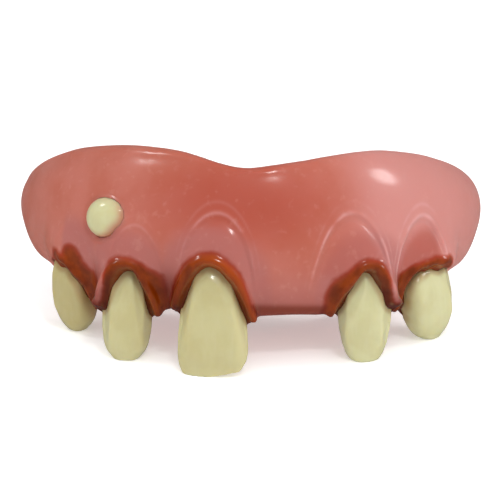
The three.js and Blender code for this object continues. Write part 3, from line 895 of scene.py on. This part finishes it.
# %% [markdown]
# ## Ivory acrylic
# A greenish ivory, a little blotchy, with faint upright streaks like those in enamel. The streaks are a
# noise that a Mapping node stretches along the crown. More light sinks in than in the gum.

# %% Mix the ivory
IVORY = "#D4D1A4"
DULL_IVORY = "#CEC99A"
STREAK = "#DCDAB8"
LEFT_SHADE_WASH = "#EADFCE"
NECK_BROWN = "#A67C4C"
VEIL_PINK = "#C08266"

ivory, tree, shader, place = new_plastic("ivory_acrylic")
blotch = noise(tree, place, 320, 3)
upright = add_node(tree, "Mapping", {"Vector": place, "Scale": (1, 1, 0.15)}).outputs["Vector"]
streaks = noise(tree, upright, 1300, 2)
colour = lay_over(tree, tint(IVORY), tint(DULL_IVORY), remap(tree, blotch, 0.35, 0.65, 0, 1))
colour = lay_over(tree, colour, tint(STREAK), remap(tree, streaks, 0.45, 0.75, 0, 0.2))
# painted shade: a darker, yellower wash on the left crowns
colour = lay_over(tree, colour, tint(LEFT_SHADE_WASH), mask(tree, "left_crown_shade"), "MULTIPLY")
# neck brown: partly stain, partly painted shade
colour = lay_over(tree, colour, tint(NECK_BROWN), remap(tree, mask(tree, "neck"), 0.2, 1, 0, 0.6))
colour = lay_over(tree, colour, tint(VEIL_PINK), mask(tree, "veil"))
feed(tree, shader.inputs["Base Color"], colour)
feed(tree, shader.inputs["Roughness"], 0.3)
feed(tree, shader.inputs["Subsurface Weight"], 0.6)
feed(tree, shader.inputs["Subsurface Radius"], (1.0, 0.8, 0.45))
feed(tree, shader.inputs["Subsurface Scale"], 0.9 * MM)
feed(tree, shader.inputs["Coat Weight"], 0.5)
feed(tree, shader.inputs["Coat Roughness"], 0.12)
for piece in (*crowns.values(), bud):
    piece.data.materials.clear()
    piece.data.materials.append(ivory)
print("ivory:", len(tree.nodes), "nodes")

# %% [markdown]
# ## Ride and replace
# Every piece rides on the only body, and the CAD node it was made from is hidden. Its material slot
# already names its finish.

# %% Tie the pieces to the frame
for node, piece in [*crowns.items(), ("tooth_bud", bud), ("gum_plate", gum)]:
    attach(piece, "root")
    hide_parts(node)

# %% [markdown]
# ## Floor
# A plain pale floor that glows a little, so that it stays near white under the piece. Gloss doesn't see
# it, because a pale floor mirrored in the wet collars would turn their brown grey.

# %% Lay the floor and light the room
scene = bpy.context.scene
scene.view_settings.view_transform = "Standard"
bpy.ops.mesh.primitive_plane_add(size=4)
floor = bpy.context.object
floor.name = "floor"
floor_paint = bpy.data.materials.new("floor_white")
floor_paint.use_nodes = True
floor_shader = floor_paint.node_tree.nodes["Principled BSDF"]
floor_shader.inputs["Base Color"].default_value = (0.9, 0.9, 0.9, 1)
floor_shader.inputs["Roughness"].default_value = 0.8
floor_shader.inputs["Emission Color"].default_value = (1, 1, 1, 1)
floor_shader.inputs["Emission Strength"].default_value = 0.35
floor.data.materials.append(floor_paint)
floor.visible_glossy = False

world = bpy.data.worlds.new("studio")
scene.world = world
world.use_nodes = True
world.node_tree.nodes["Background"].inputs["Color"].default_value = (1, 1, 1, 1)
world.node_tree.nodes["Background"].inputs["Strength"].default_value = 0.15
print("floor and room ready")

# %% [markdown]
# ## Lights
# Two very soft suns, high on the left and on the right, stand for windows and model the round forms. They
# are kept out of reflections. Three round lamps, on the left, on the right and in front, make the small
# hot spots on the gum, the collars and the crowns.

# %% Hang the lights
LAMP_AWAY = 500
WINDOW_SPREAD = math.radians(80)


def lamp(name, azimuth, elevation, size, energy):
    a, e = math.radians(azimuth), math.radians(elevation)
    way = Vector((math.sin(a) * math.cos(e), -math.cos(a) * math.cos(e), math.sin(e)))
    bpy.ops.object.light_add(type="AREA", location=AIM + way * LAMP_AWAY * MM)
    light = bpy.context.object
    light.name = name
    light.rotation_mode = "QUATERNION"
    light.rotation_quaternion = (-way).to_track_quat("-Z", "Y")
    light.data.shape = "DISK"
    light.data.size = size * MM
    light.data.energy = energy


def window(name, azimuth, elevation, strength):
    bpy.ops.object.light_add(type="SUN", location=(0, 0, 1))
    light = bpy.context.object
    light.name = name
    light.rotation_euler = (math.radians(90 - elevation), 0, math.radians(azimuth))
    light.data.energy = strength
    light.data.angle = WINDOW_SPREAD
    light.visible_glossy = False


window("window_left", azimuth=-60, elevation=58, strength=1.3)
window("window_right", azimuth=60, elevation=45, strength=1.45)
lamp("lamp_left", azimuth=-98, elevation=51, size=100, energy=0.32)
lamp("lamp_right", azimuth=97, elevation=36, size=110, energy=0.3)
lamp("lamp_front", azimuth=18, elevation=58, size=60, energy=0.32)
